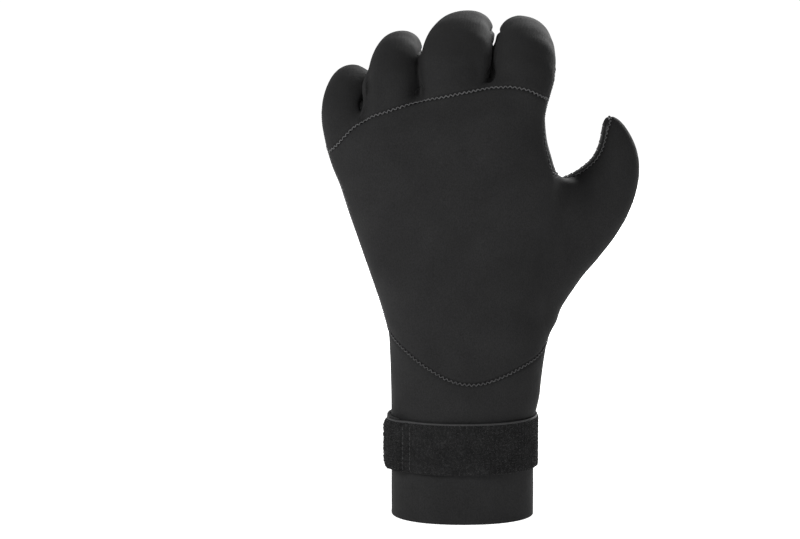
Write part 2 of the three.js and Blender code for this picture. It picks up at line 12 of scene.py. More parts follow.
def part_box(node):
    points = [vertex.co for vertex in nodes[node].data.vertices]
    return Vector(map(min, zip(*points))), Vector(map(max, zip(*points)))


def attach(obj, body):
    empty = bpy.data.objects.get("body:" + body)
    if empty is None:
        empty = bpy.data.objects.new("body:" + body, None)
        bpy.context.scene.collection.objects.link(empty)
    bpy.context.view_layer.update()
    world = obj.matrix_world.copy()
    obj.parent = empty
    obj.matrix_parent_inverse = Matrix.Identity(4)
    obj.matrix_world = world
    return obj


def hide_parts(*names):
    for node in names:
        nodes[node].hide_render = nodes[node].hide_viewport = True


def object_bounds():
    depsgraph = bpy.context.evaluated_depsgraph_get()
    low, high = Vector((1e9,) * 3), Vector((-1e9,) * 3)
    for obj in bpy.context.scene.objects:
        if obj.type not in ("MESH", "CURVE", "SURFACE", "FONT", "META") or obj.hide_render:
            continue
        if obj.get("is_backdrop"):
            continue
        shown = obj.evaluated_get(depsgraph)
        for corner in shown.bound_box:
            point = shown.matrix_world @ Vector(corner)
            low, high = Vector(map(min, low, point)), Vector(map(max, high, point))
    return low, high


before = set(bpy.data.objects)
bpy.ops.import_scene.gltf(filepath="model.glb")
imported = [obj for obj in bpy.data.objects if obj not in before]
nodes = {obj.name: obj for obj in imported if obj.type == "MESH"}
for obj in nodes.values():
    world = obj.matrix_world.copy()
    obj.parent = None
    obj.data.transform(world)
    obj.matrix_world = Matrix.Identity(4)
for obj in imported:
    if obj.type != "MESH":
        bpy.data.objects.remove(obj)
cad_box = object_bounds()
MM = 0.001
rng = np.random.default_rng(7)

# The CAD nodes that make up each sewn panel of the glove
FINGERS = ("little", "ring", "middle", "index")
PANELS = {
    "hand_back_panel": ["hand_back", "thumb_back"],
    "finger_back_panel": [f"{f}_finger_back" for f in FINGERS],
    "palm_panel": ["palm", "thumb_front"] + [f"{f}_finger_front" for f in FINGERS],
    "cuff_panel": ["cuff"],
    "cuff_loop_panel": ["loop_panel"],
}

# The skin
WALL = 2.6 * MM
VOXEL = 1.0 * MM
INFLATE = 0.3 * MM
FACET_ROUNDS = 50
VOLUME_ROUNDS = 60
SEAM_FIELD_ROUNDS = 16
INWARD_ROUNDS = 24
SEAM_FIELD_REACH = 5 * MM
WEB_PLACE = (0.047, 0.0, 0.163)
THUMB_BALL_PLACE = (0.0245, 0.02, 0.122)

# The deep valleys between neighbouring fingers on the back, each as places in x and z from the crotch up
VALLEYS = [
    [(-0.0500, 0.1915), (-0.0465, 0.1935), (-0.0445, 0.2050), (-0.0455, 0.2180), (-0.0460, 0.2300)],
    [(-0.0190, 0.2010), (-0.0200, 0.2050), (-0.0210, 0.2150), (-0.0215, 0.2270), (-0.0200, 0.2370)],
    [(0.0115, 0.2085), (0.0135, 0.2120), (0.0155, 0.2170), (0.0168, 0.2270), (0.0170, 0.2400)],
]
VALLEY_DEPTH = 4.2 * MM
VALLEY_WIDTH = 1.3 * MM
VALLEY_CLEAR = 3 * MM
CROTCHES = [(-0.0475, 0.0, 0.198), (-0.0205, 0.002, 0.206), (0.0131, -0.006, 0.2125)]
CROTCH_REACH = (5 * MM, 10 * MM, 6 * MM)

# Where neighbouring fingers lie against each other: the range of x, the ramps up and down in z, and the reach
TOUCHING = [
    ((0.006, 0.026), (0.200, 0.206), (0.2335, 0.2215), 2.1 * MM),
    ((-0.058, -0.038), (0.186, 0.192), (0.216, 0.206), 2.7 * MM),
]

# How far the foam swells above the strap on the thumb's side
WRIST_SWELL = 2.5 * MM

# Seams and thread
SEAM_DEPTH = 0.85 * MM
SEAM_WIDTH = 1.0 * MM
STITCH_PITCH = 2.2 * MM
STITCH_WIDTH = 0.58 * MM
THREAD = 0.24 * MM

# The printed grip: rings round a point of the palm, with lines over the heel of the hand and the thumb
GRIP_PITCH = 4.2 * MM
GRIP_WIDTH = 2.7 * MM
GRIP_HEIGHT = 0.7 * MM
GRIP_CENTRE = (0.011, 0.166)
GRIP_CLEAR = 2.6 * MM
THUMB_GRIP_PITCH = 2.7 * MM

# Creases in the palm: both ends as x and z, the depth and the half width
CREASES = [
    (0.0302, 0.1560, 0.0308, 0.1290, 1.3 * MM, 1.1 * MM),
    (0.0300, 0.1650, 0.0150, 0.1560, 1.2 * MM, 1.2 * MM),
    (0.0340, 0.1600, 0.0262, 0.1530, 0.8 * MM, 1.0 * MM),
    (0.0370, 0.1510, 0.0300, 0.1440, 0.6 * MM, 1.0 * MM),
    (0.0250, 0.1480, 0.0190, 0.1420, 0.5 * MM, 1.0 * MM),
]

# The straps, in the sizes of the CAD's strap nodes
CUFF_HALF_WIDTH = 34.5 * MM
CUFF_HALF_DEPTH = 27 * MM
CUFF_SQUARE = 2.2
STRAP_LOW = 24 * MM
STRAP_HIGH = 49 * MM
STRAP_CORNER = 6 * MM
STRAP_GIRTH = 30.5 * MM
LOOP_STRAP_THICK = 1.8 * MM
ELASTIC_THICK = 1.5 * MM
TAB_THICK = 1.4 * MM
STRAP_GAP = 0.35 * MM
LOBE_TURN = 190
LOBE_STITCH_TURN = 217
STITCH_TURNS = (221.0, 227.5)
LOOP_STRAP_END = 464
TAB_TURN = 57
TAB_END = 80.8
RIB_PITCH = 1.3 * MM
RIB_HEIGHT = 0.2 * MM
SELVEDGE = 1.3 * MM
SELVEDGE_CORD = 0.36 * MM

# The pile of small loops on the strap and on the cuff's loop panel
PILE_SIZE = 0.55 * MM
PILE_THREAD = 0.07 * MM
PANEL_LOOPS = 7500
STRAP_LOOPS = 6500


def mesh_arrays(me):
    """Points, edges and triangles of a mesh."""
    me.calc_loop_triangles()
    co = np.empty(len(me.vertices) * 3)
    me.vertices.foreach_get("co", co)
    edges = np.empty(len(me.edges) * 2, np.int32)
    me.edges.foreach_get("vertices", edges)
    tri = np.empty(len(me.loop_triangles) * 3, np.int32)
    me.loop_triangles.foreach_get("vertices", tri)
    return co.reshape(-1, 3), edges.reshape(-1, 2), tri.reshape(-1, 3)


def new_object(name, co, faces):
    """A smooth-shaded mesh object in the scene from points and faces of one length."""
    faces = np.asarray(faces, np.int32)
    me = bpy.data.meshes.new(name)
    me.vertices.add(len(co))
    me.vertices.foreach_set("co", np.asarray(co, np.float32).ravel())
    me.loops.add(faces.size)
    me.loops.foreach_set("vertex_index", faces.ravel())
    me.polygons.add(len(faces))
    me.polygons.foreach_set("loop_start", np.arange(len(faces), dtype=np.int32) * faces.shape[1])
    me.polygons.foreach_set("use_smooth", np.ones(len(faces), bool))
    me.update(calc_edges=True)
    me.validate()
    obj = bpy.data.objects.new(name, me)
    bpy.context.scene.collection.objects.link(obj)
    return obj


def averaged(values, edges):
    """Each point's mean over its neighbours."""
    count = len(values)
    a, b = edges[:, 0], edges[:, 1]
    both = np.concatenate([a, b])
    other = np.concatenate([b, a])
    degree = np.maximum(np.bincount(both, minlength=count), 1)
    if values.ndim == 1:
        return np.bincount(both, values[other], count) / degree
    columns = [np.bincount(both, values[other, k], count) / degree for k in range(values.shape[1])]
    return np.stack(columns, 1)


def relaxed(values, edges, rounds, amount=0.5):
    """The values after that many rounds of smoothing."""
    for _ in range(rounds):
        values = values + amount * (averaged(values, edges) - values)
    return values


def normals_of(co, tri):
    """Smooth normals at the points."""
    face = np.cross(co[tri[:, 1]] - co[tri[:, 0]], co[tri[:, 2]] - co[tri[:, 0]])
    total = np.zeros_like(co)
    for corner in range(3):
        for axis in range(3):
            total[:, axis] += np.bincount(tri[:, corner], face[:, axis], len(co))
    return total / np.maximum(np.linalg.norm(total, axis=1), 1e-12)[:, None]


def edges_of(tri):
    """Each edge of the triangles once."""
    every = np.concatenate([tri[:, [0, 1]], tri[:, [1, 2]], tri[:, [2, 0]]])
    return np.unique(np.sort(every, 1), axis=0)


def islands_of(count, edges):
    """The number of the connected island that each point is in."""
    order = np.argsort(np.concatenate([edges[:, 0], edges[:, 1]]), kind="stable")
    ends = np.concatenate([edges[:, 1], edges[:, 0]])[order].tolist()
    starts = np.concatenate([edges[:, 0], edges[:, 1]])
    first = np.searchsorted(starts[order], np.arange(count + 1)).tolist()
    island = [-1] * count
    number = 0
    for seed in range(count):
        if island[seed] >= 0:
            continue
        island[seed] = number
        stack = [seed]
        while stack:
            at = stack.pop()
            for other in ends[first[at]:first[at + 1]]:
                if island[other] < 0:
                    island[other] = number
                    stack.append(other)
        number += 1
    return np.array(island)


def kept(co, tri, keep):
    """Only the kept triangles, with the points that they use."""
    tri = tri[keep]
    used, index = np.unique(tri, return_inverse=True)
    return co[used], index.reshape(-1, 3), used


def cad_mesh(names, flip=False):
    """The named nodes in one bmesh with corner points merged, upside down below the wrist if flip is set."""
    bm = bmesh.new()
    for name in names:
        bm.from_mesh(nodes[name].data)
    bmesh.ops.remove_doubles(bm, verts=bm.verts, dist=1e-6)
    if flip:
        for v in bm.verts:
            v.co.z = -v.co.z
        bmesh.ops.reverse_faces(bm, faces=bm.faces)
    bm.normal_update()
    return bm


def outer_skin():
    """Points and triangles of one smooth surface round all the panels, open at the wrist."""
    every = [n for names in PANELS.values() for n in names]
    me = bpy.data.meshes.new("skin")
    whole = bmesh.new()
    for names, flip in ((every, False), (["cuff", "loop_panel"], True)):
        part = cad_mesh(names, flip)
        for v in part.verts:
            v.co += v.normal * INFLATE
        part.to_mesh(me)
        whole.from_mesh(me)
        part.free()
    low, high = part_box("cuff")
    plug = bmesh.ops.create_cone(whole, cap_ends=True, segments=48, radius1=1, radius2=1, depth=1)
    margin = 1.5 * MM
    for v in plug["verts"]:
        v.co.x = v.co.x * (34 * MM - margin)
        v.co.y = v.co.y * (-low.y - margin)
        v.co.z = v.co.z * 4 * MM - 15 * MM
    whole.to_mesh(me)
    whole.free()
    obj = bpy.data.objects.new("skin", me)
    bpy.context.scene.collection.objects.link(obj)
    remesh = obj.modifiers.new("remesh", "REMESH")
    remesh.mode = "VOXEL"
    remesh.voxel_size = VOXEL
    made = bpy.data.meshes.new_from_object(obj.evaluated_get(bpy.context.evaluated_depsgraph_get()))
    co, edges, tri = mesh_arrays(made)
    bpy.data.objects.remove(obj)
    bpy.data.meshes.remove(me)
    bpy.data.meshes.remove(made)
    co, tri, _ = kept(co, tri, (co[tri][:, :, 2] > -10 * MM).all(1))
    island = islands_of(len(co), edges_of(tri))
    spans = [np.ptp(co[island == k], axis=0).sum() for k in range(island.max() + 1)]
    co, tri, _ = kept(co, tri, island[tri[:, 0]] == int(np.argmax(spans)))
    edges = edges_of(tri)
    smooth = relaxed(co, edges, FACET_ROUNDS)
    normal = normals_of(smooth, tri)
    lost = relaxed(((co - smooth) * normal).sum(1), edges, VOLUME_ROUNDS)
    return smooth + normal * lost[:, None], tri


def distance_to(names, co):
    """How far each point is from the surface of the named nodes."""
    bm = cad_mesh(names)
    tree = BVHTree.FromBMesh(bm)
    bm.free()
    return np.array([tree.find_nearest(Vector(p))[3] for p in co])


def split_along(co, tri, fields, values, inside):
    """Cuts the inside triangles where the values change sign.

    Returns the points, triangles, fields, the side of each triangle, its number before the cut and the seam's pieces.
    """
    values = np.where(np.abs(values) < 1e-9, 1e-9, values)
    side = values[tri] > 0
    mixed = inside & (side.any(1) != side.all(1))
    t = tri[mixed]
    s = side[mixed]
    lone = np.where(s.sum(1) == 1, s.argmax(1), (~s).argmax(1))
    rows = np.arange(len(t))
    a, b, c = t[rows, lone], t[rows, (lone + 1) % 3], t[rows, (lone + 2) % 3]
    pairs = np.sort(np.concatenate([np.stack([a, b], 1), np.stack([a, c], 1)]), 1)
    unique, where = np.unique(pairs, axis=0, return_inverse=True)
    where = where.reshape(-1)
    low, high = unique[:, 0], unique[:, 1]
    share = np.clip(values[low] / (values[low] - values[high]), 0.08, 0.92)

    def between(x):
        w = share if x.ndim == 1 else share[:, None]
        return np.concatenate([x, x[low] + w * (x[high] - x[low])])

    ab = where[:len(t)] + len(co)
    ac = where[len(t):] + len(co)
    near = np.stack([a, ab, ac], 1)
    far_one = np.stack([ab, b, c], 1)
    far_two = np.stack([ab, c, ac], 1)
    tri_new = np.concatenate([tri[~mixed], near, far_one, far_two])
    number = np.arange(len(tri))
    came_from = np.concatenate([number[~mixed], number[mixed], number[mixed], number[mixed]])
    near_side = values[a] > 0
    side_new = np.concatenate([side[~mixed][:, 0], near_side, ~near_side, ~near_side])
    fields = {k: between(v) for k, v in fields.items()}
    return between(co), tri_new, fields, side_new, came_from, np.stack([ab, ac], 1)


def without_specks(tri, label, least=150):
    """Labels with small loose patches given to the label round them."""
    edge_of = {}
    for number, (a, b, c) in enumerate(tri.tolist()):
        for pair in ((a, b), (b, c), (c, a)):
            edge_of.setdefault((min(pair), max(pair)), []).append(number)
    joined = np.array([v for v in edge_of.values() if len(v) == 2])
    same = label[joined[:, 0]] == label[joined[:, 1]]
    patch = islands_of(len(tri), joined[same])
    sizes = np.bincount(patch)
    label = label.copy()
    for one, other in joined[~same]:
        for small, big in ((one, other), (other, one)):
            if sizes[patch[small]] < least <= sizes[patch[big]]:
                label[patch == patch[small]] = label[big]
    return label


def chains(segments):
    """The segments joined into runs of point numbers, each with True if it closes on itself."""
    links = {}
    for a, b in segments.tolist():
        links.setdefault(a, []).append(b)
        links.setdefault(b, []).append(a)
    runs = []
    seen = set()
    for start in sorted(links, key=lambda k: len(links[k]) != 1):
        if start in seen:
            continue
        run = [start]
        seen.add(start)
        while True:
            onward = [n for n in links[run[-1]] if n not in seen]
            if not onward:
                break
            run.append(onward[0])
            seen.add(onward[0])
        runs.append((run, len(run) > 3 and run[0] in links[run[-1]]))
    return runs


def resampled(points, others, closed, step, smooth=3):
    """Even places along a run and the other values there."""
    if closed:
        points = np.concatenate([points, points[:1]])
        others = np.concatenate([others, others[:1]])
    for _ in range(smooth):
        middle = (points[:-2] + points[2:]) / 2
        points = points.copy()
        points[1:-1] += 0.5 * (middle - points[1:-1])
    gone = np.concatenate([[0], np.cumsum(np.linalg.norm(np.diff(points, axis=0), axis=1))])
    count = max(int(gone[-1] / step), 2)
    at = np.linspace(0, gone[-1], count + 1)
    if closed:
        at = at[:-1]
    pick = lambda x: np.stack([np.interp(at, gone, x[:, k]) for k in range(x.shape[1])], 1)
    normal = pick(others)
    return pick(points), normal / np.linalg.norm(normal, axis=1)[:, None], gone[-1]


def directions(points, closed):
    """Unit directions along a run."""
    if closed:
        step = np.roll(points, -1, 0) - np.roll(points, 1, 0)
    else:
        step = np.gradient(points, axis=0)
    return step / np.maximum(np.linalg.norm(step, axis=1), 1e-12)[:, None]


class Pile:
    """Many strips and tubes gathered into one mesh."""

    def __init__(self):
        self.co = []
        self.faces = []
        self.count = 0

    def strip(self, points, normal, section, closed, ends=None):
        """A closed section swept along the points. ends scales the section at each point."""
        ahead = directions(points, closed)
        side = np.cross(ahead, normal)
        side /= np.maximum(np.linalg.norm(side, axis=1), 1e-12)[:, None]
        scale = np.ones(len(points)) if ends is None else ends
        rings = [points + side * (u * scale)[:, None] + normal * (n * scale)[:, None] for u, n in section]
        self.rings(np.stack(rings, 1), closed)

    def rings(self, rings, closed):
        """Quads through rings of points, as an array of runs by section by axis."""
        count, sides = rings.shape[:2]
        at = np.arange(count * sides).reshape(count, sides) + self.count
        after = np.roll(at, -1, 1)
        last = count if closed else count - 1
        nxt = np.roll(at, -1, 0)
        nxt_after = np.roll(after, -1, 0)
        quads = np.stack([at, after, nxt_after, nxt], -1)[:last]
        self.co.append(rings.reshape(-1, 3))
        self.faces.append(quads.reshape(-1, 4))
        if not closed:
            for row, turn in ((at[0], 1), (at[-1], -1)):
                loop = row[::turn]
                for k in range(1, sides - 1, 2):
                    corner = loop[min(k + 2, sides - 1)]
                    if corner == loop[k + 1]:
                        self.faces.append(np.array([[loop[0], loop[k + 1], loop[k], loop[k]]]))
                    else:
                        self.faces.append(np.array([[loop[0], corner, loop[k + 1], loop[k]]]))
        self.count += count * sides

    def tubes(self, rings):
        """Many short open tubes at once, as an array of tubes by runs by section by axis."""
        many, count, sides = rings.shape[:3]
        at = np.arange(many * count * sides).reshape(many, count, sides) + self.count
        after = np.roll(at, -1, 2)
        quads = np.stack([at[:, :-1], after[:, :-1], after[:, 1:], at[:, 1:]], -1)
        self.co.append(rings.reshape(-1, 3))
        self.faces.append(quads.reshape(-1, 4))
        self.count += many * count * sides

    def done(self, name):
        """The pile as one object, with its faces turned outward."""
        quads = np.concatenate(self.faces)
        flat = quads[:, 2] == quads[:, 3]
        co = np.concatenate(self.co)
        a, b, c, d = (co[quads[~flat][:, k]] for k in range(4))
        bulk = (a * np.cross(b, c)).sum() + (a * np.cross(c, d)).sum()
        if bulk < 0:
            quads = quads[:, [0, 2, 1, 1]] if flat.all() else np.where(
                flat[:, None], quads[:, [0, 2, 1, 1]], quads[:, [3, 2, 1, 0]]
            )
        faces = [tuple(q) for q in quads[~flat].tolist()] + [tuple(q[:3]) for q in quads[flat].tolist()]
        me = bpy.data.meshes.new(name)
        me.from_pydata(co.tolist(), [], faces)
        me.validate()
        me.polygons.foreach_set("use_smooth", [True] * len(me.polygons))
        me.update()
        obj = bpy.data.objects.new(name, me)
        bpy.context.scene.collection.objects.link(obj)
        return obj


def softened(co, edges, centre, reach, rounds):
    """The points smoothed most near one place."""
    weight = np.exp(-(((co - np.array(centre)) / np.array(reach)) ** 2).sum(1))[:, None]
    for _ in range(rounds):
        co = co + 0.5 * weight * (averaged(co, edges) - co)
    return co


def smoothstep(value, start, end):
    """From 0 at start to 1 at end."""
    t = np.clip((value - start) / (end - start), 0, 1)
    return t * t * (3 - 2 * t)


def drawn_together(co, tri):
    """The fingers' facing sides moved until they touch."""
    up = normals_of(co, tri)
    facing = np.sign(up[:, 0]) * smoothstep(np.abs(up[:, 0]), 0.3, 0.8)
    moved = co.copy()
    for (left, right), low, high, reach in TOUCHING:
        between = (co[:, 0] > left) & (co[:, 0] < right)
        share = smoothstep(co[:, 2], *low) * smoothstep(co[:, 2], *high) * between
        moved[:, 0] += facing * share * reach
    return moved


def from_valley(co, valley):
    """How far each point is from a valley's line seen from the front, and how far up the line."""
    corners = np.array(valley)
    flat = co[:, [0, 2]]
    nearest = np.full(len(co), 1.0)
    up_line = np.zeros(len(co))
    gone = 0.0
    for start, end in zip(corners[:-1], corners[1:]):
        along = end - start
        span = np.linalg.norm(along)
        t = np.clip((flat - start) @ along / span ** 2, 0, 1)
        off = np.linalg.norm(flat - start - t[:, None] * along, axis=1)
        up_line = np.where(off < nearest, gone + t * span, up_line)
        nearest = np.minimum(off, nearest)
        gone += span
    return nearest, up_line


def with_valleys(co, tri):
    """The back of the skin pushed in along the lines between the fingers."""
    up = normals_of(co, tri)
    sink = np.zeros(len(co))
    for valley in VALLEYS:
        off, gone = from_valley(co, valley)
        depth = VALLEY_DEPTH * smoothstep(gone, -0.5 * MM, 3 * MM)
        sink = np.maximum(sink, depth * np.exp(-((off / VALLEY_WIDTH) ** 2)))
    sink = sink * smoothstep(up[:, 1], 0.35, -0.25)
    return co + np.stack([0 * sink, sink, 0 * sink], 1)


def swollen(co):
    """The thumb's side of the wrist filled out above the strap."""
    up = smoothstep(co[:, 2], 0.043, 0.060) * smoothstep(co[:, 2], 0.101, 0.088)
    grown = co.copy()
    grown[:, 0] += WRIST_SWELL * up * smoothstep(co[:, 0], 0.012, 0.034)
    return grown


# The skin, and how far each of its points is from each panel
skin_co, skin_tri = outer_skin()
skin_edges = edges_of(skin_tri)
skin_co = swollen(skin_co)
skin_co = softened(skin_co, skin_edges, WEB_PLACE, (9 * MM, 9 * MM, 9 * MM), 60)
skin_co = softened(skin_co, skin_edges, THUMB_BALL_PLACE, (15 * MM, 12 * MM, 34 * MM), 170)
skin_co = drawn_together(skin_co, skin_tri)
skin_co = with_valleys(skin_co, skin_tri)
for place in CROTCHES:
    skin_co = softened(skin_co, skin_edges, place, CROTCH_REACH, 25)
skin_co = relaxed(skin_co, skin_edges, 2, 0.3)
away = {name: distance_to(names, skin_co) for name, names in PANELS.items()}


def seam_field(ones, others):
    """Positive nearer the others, and zero along the seam between the two."""
    one = np.min([away[n] for n in ones], axis=0)
    other = np.min([away[n] for n in others], axis=0)
    return relaxed(np.clip(one - other, -SEAM_FIELD_REACH, SEAM_FIELD_REACH), skin_edges, SEAM_FIELD_ROUNDS)


hand = ("hand_back_panel", "finger_back_panel", "palm_panel")
cuffs = ("cuff_panel", "cuff_loop_panel")
fields = {
    "open_end": skin_co[:, 2].copy(),
    "wrist": seam_field(cuffs, hand),
    "palm": seam_field(("palm_panel",), ("hand_back_panel", "finger_back_panel")),
    "knuckles": seam_field(("hand_back_panel",), ("finger_back_panel",)),
    "loops": seam_field(("cuff_panel",), ("cuff_loop_panel",)),
}
NAMES = list(PANELS)
label = np.full(len(skin_tri), NAMES.index("hand_back_panel"))
seams = {}


def cut(name, among, below, above):
    """Divides the triangles that carry the label among in two along one field."""
    global skin_co, skin_tri, fields, label
    inside = label == among
    skin_co, skin_tri, fields, side, came_from, segments = split_along(skin_co, skin_tri, fields, fields[name], inside)
    label = label[came_from]
    inside = inside[came_from]
    label = np.where(inside & side, above, np.where(inside, below, label))
    seams[name] = segments


BACK, FINGER_BACK, PALM, CUFF, LOOPS = (NAMES.index(n) for n in PANELS)
GONE = -1
cut("open_end", BACK, GONE, BACK)
skin_tri = skin_tri[label != GONE]
label = label[label != GONE]
cut("wrist", BACK, CUFF, BACK)
cut("palm", BACK, PALM, BACK)
cut("knuckles", BACK, BACK, FINGER_BACK)
cut("loops", CUFF, CUFF, LOOPS)
label = without_specks(skin_tri, label)
normal = normals_of(skin_co, skin_tri)

# Runs of points along the seams
MIN_RUN = 12 * MM
MIN_RING = 60 * MM
seam_runs = {}
for name in ("wrist", "palm", "knuckles", "loops"):
    seam_runs[name] = []
    for run, closed in chains(seams[name]):
        if len(run) < 4:
            continue
        points, across, length = resampled(skin_co[run], normal[run], closed, 0.35 * MM, 6)
        if length > (MIN_RING if closed else MIN_RUN):
            seam_runs[name].append((points, across, closed))

# Press the seams into the foam
seam_points = np.concatenate([p for runs in seam_runs.values() for p, _, _ in runs])
tree = KDTree(len(seam_points))
for number, p in enumerate(seam_points):
    tree.insert(p, number)
tree.balance()
gap = np.array([tree.find(p)[2] for p in skin_co])
skin_co = skin_co - normal * (SEAM_DEPTH * np.exp(-((gap / SEAM_WIDTH) ** 2)))[:, None]


def crease_depth(co, facing):
    """How far each point sinks into the creases of the palm, with a low swell on both sides of each."""
    sink = np.zeros(len(co))
    for x0, z0, x1, z1, depth, width in CREASES:
        along = np.array([x1 - x0, z1 - z0])
        span = np.linalg.norm(along)
        out = co[:, [0, 2]] - np.array([x0, z0])
        t = np.clip(out @ along / span ** 2, 0, 1)
        off = np.linalg.norm(out - t[:, None] * along, axis=1)
        ends = np.sin(math.pi * np.clip(t, 0.08, 0.92)) ** 0.5
        sink += depth * ends * (np.exp(-((off / width) ** 2)) - 0.3 * np.exp(-((off / width - 2.2) ** 2)))
    return sink * np.clip(facing * 2.5, 0, 1)


skin_co = skin_co - normal * crease_depth(skin_co, normal[:, 1])[:, None]
normal = normals_of(skin_co, skin_tri)

# The way in from each point, evened out, and so shorter where the skin turns sharply
inward = -relaxed(normal, edges_of(skin_tri), INWARD_ROUNDS)


def panel_object(name, number):
    """One panel as a closed shell: the skin, the same further in, and the walls along its edges."""
    co, tri, used = kept(skin_co, skin_tri, label == number)
    inner = co + inward[used] * WALL
    every = np.concatenate([tri[:, [0, 1]], tri[:, [1, 2]], tri[:, [2, 0]]])
    key = np.sort(every, 1)
    _, first, count = np.unique(key, axis=0, return_index=True, return_counts=True)
    rim = every[first[count == 1]]
    n = len(co)
    walls = np.concatenate([
        np.stack([rim[:, 1], rim[:, 0], rim[:, 0] + n], 1),
        np.stack([rim[:, 1], rim[:, 0] + n, rim[:, 1] + n], 1),
    ])
    faces = np.concatenate([tri, tri[:, ::-1] + n, walls])
    return new_object(name, np.concatenate([co, inner]), faces)


pieces = {}
for number, name in enumerate(NAMES):
    obj = panel_object(name, number)
    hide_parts(*PANELS[name])
    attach(obj, "root")
    pieces[name] = obj


# Thread in the seams: a zigzag that dips into the foam at each turn
def stitched(name, runs, pitch=STITCH_PITCH, width=STITCH_WIDTH, thread=THREAD):
    pile = Pile()
    circle = [(thread * math.cos(a), thread * math.sin(a)) for a in np.linspace(0, 2 * math.pi, 5, endpoint=False)]
    for points, across, closed in runs:
        ahead = directions(points, closed)
        side = np.cross(ahead, across)
        step = np.linalg.norm(np.diff(points, axis=0), axis=1).mean()
        phase = np.arange(len(points)) * step / pitch
        zig = 2 * np.abs(2 * (phase % 1) - 1) - 1
        rise = 0.06 * MM - 0.5 * MM * np.abs(zig) ** 3
        line = points + side * (zig * width)[:, None] + across * rise[:, None]
        pile.strip(line, across, circle, closed)
    return pile.done(name)


def out_of_valleys(runs):
    """The runs without their stretches between the fingers, where no thread shows."""
    found = []
    for points, across, closed in runs:
        nearest = np.min([from_valley(points, valley)[0] for valley in VALLEYS], axis=0)
        free = nearest > VALLEY_CLEAR
        if free.all():
            found.append((points, across, closed))
            continue
        if closed:
            first = int(np.argmin(free))
            points, across, free = (np.roll(v, -first, 0) for v in (points, across, free))
        starts = np.flatnonzero(np.diff(np.concatenate([[0], free.astype(int), [0]])))
        for start, end in zip(starts[::2], starts[1::2]):
            if end - start > 20:
                found.append((points[start:end], across[start:end], False))
    return found


thread_runs = out_of_valleys(seam_runs["palm"]) + seam_runs["knuckles"]
pieces["seam_thread"] = stitched("seam_thread", thread_runs)
pieces["wrist_thread"] = stitched("wrist_thread", seam_runs["wrist"])
pieces["panel_thread"] = stitched("panel_thread", seam_runs["loops"], 2.4 * MM, 0.3 * MM, 0.15 * MM)


# The printed grip on the palm panel
def contours(co, tri, across, field, pitch):
    """Pieces of the lines where the field crosses whole steps of the pitch, with their points and normals."""
    level = field / pitch + 1e-7
    corner = level[tri]
    step = np.ceil(corner.min(1))
    crossed = step < corner.max(1)
    t = tri[crossed]
    step = step[crossed].astype(np.int64)
    above = level[t] > step[:, None]
    lone = np.where(above.sum(1) == 1, above.argmax(1), (~above).argmax(1))
    rows = np.arange(len(t))
    a, b, c = t[rows, lone], t[rows, (lone + 1) % 3], t[rows, (lone + 2) % 3]
    pairs = np.sort(np.concatenate([np.stack([a, b], 1), np.stack([a, c], 1)]), 1)
    keys = np.concatenate([pairs, np.concatenate([step, step])[:, None]], 1)
    unique, where = np.unique(keys, axis=0, return_inverse=True)
    where = where.reshape(-1)
    low, high, step = unique.T
    share = ((level[low] - step) / (level[low] - level[high]))[:, None]
    between = lambda x: x[low] + share * (x[high] - x[low])
    return between(co), between(across), np.stack([where[:len(t)], where[len(t):]], 1)


def allowed_runs(run, closed, allowed, least):
    """The stretches of a run where every point is allowed, each with True if it is the whole closed run."""
    fine = allowed[run]
    if fine.all():
        return [(run, closed)]
    if closed:
        first = int(np.argmin(fine))
        run = run[first:] + run[:first]
        fine = allowed[run]
    found = []
    stretch = []
    for point, good in zip(run + [None], list(fine) + [False]):
        if good:
            stretch.append(point)
        elif len(stretch) > least:
            found.append((stretch, False))
            stretch = []
        else:
            stretch = []
    return found


def ridges(pile, field, where, pitch, width, height, least):
    """Rounded ridges along the steps of a field, where a test of place and normal allows them."""
    tri = skin_tri[label == PALM]
    co, across, segments = contours(skin_co, tri, normal, field, pitch)
    clear = np.array([tree.find(p)[2] for p in co]) > GRIP_CLEAR
    allowed = clear & where(co, across)
    section = [(math.cos(a) / 2, math.sin(a)) for a in np.linspace(0, math.pi, 8)]
    for run, closed in chains(segments):
        for stretch, whole in allowed_runs(run, closed, allowed, 5):
            points, up, length = resampled(co[stretch], across[stretch], whole, 0.8 * MM, 4)
            if length < least or len(points) < 4:
                continue
            low = smoothstep(points[:, 2], 0.150, 0.112)
            size = 1 - 0.35 * low
            if not whole:
                gone = np.linspace(0, length, len(points))
                size = size * np.clip(np.minimum(gone, length - gone) / (2.2 * MM), 0.08, 1) ** 0.6
            shape = [(u * width, n * height - 0.12 * MM) for u, n in section]
            pile.strip(points, up, shape, whole, size)


x, y, z = skin_co.T
lower_palm = smoothstep(z, 0.150, 0.105)
squeeze = 1 - 0.7 * lower_palm
ring_field = np.hypot(squeeze * (x - GRIP_CENTRE[0]), 0.94 * (z - GRIP_CENTRE[1]))
ring_field += 0.5 * MM * np.sin(75 * x + 30 * z) + 0.9 * MM * lower_palm * np.sin(95 * x)
thumb_field = 0.9 * x + 0.42 * z + 0.5 * MM * np.sin(140 * z)
finger_field = z - 0.12 * np.abs(x) + 0.4 * MM * np.sin(150 * x)


def on_palm(co, across):
    top = 0.186 - 0.35 * np.maximum(-co[:, 0] - 0.008, 0) - 0.4 * np.maximum(co[:, 0] - 0.022, 0)
    over_palm = (co[:, 2] < top) & (across[:, 1] > 0.1)
    return over_palm & ~((co[:, 0] > 0.042) & (co[:, 2] > 0.147))


def on_thumb(co, across):
    return (co[:, 0] > 0.046) & (co[:, 2] > 0.152) & (co[:, 2] < 0.188)


def on_finger_roots(co, across):
    low = 0.189 - 0.3 * np.maximum(-co[:, 0] - 0.008, 0)
    return (co[:, 2] > low) & (co[:, 2] < low + 0.022) & (across[:, 1] > 0.7)


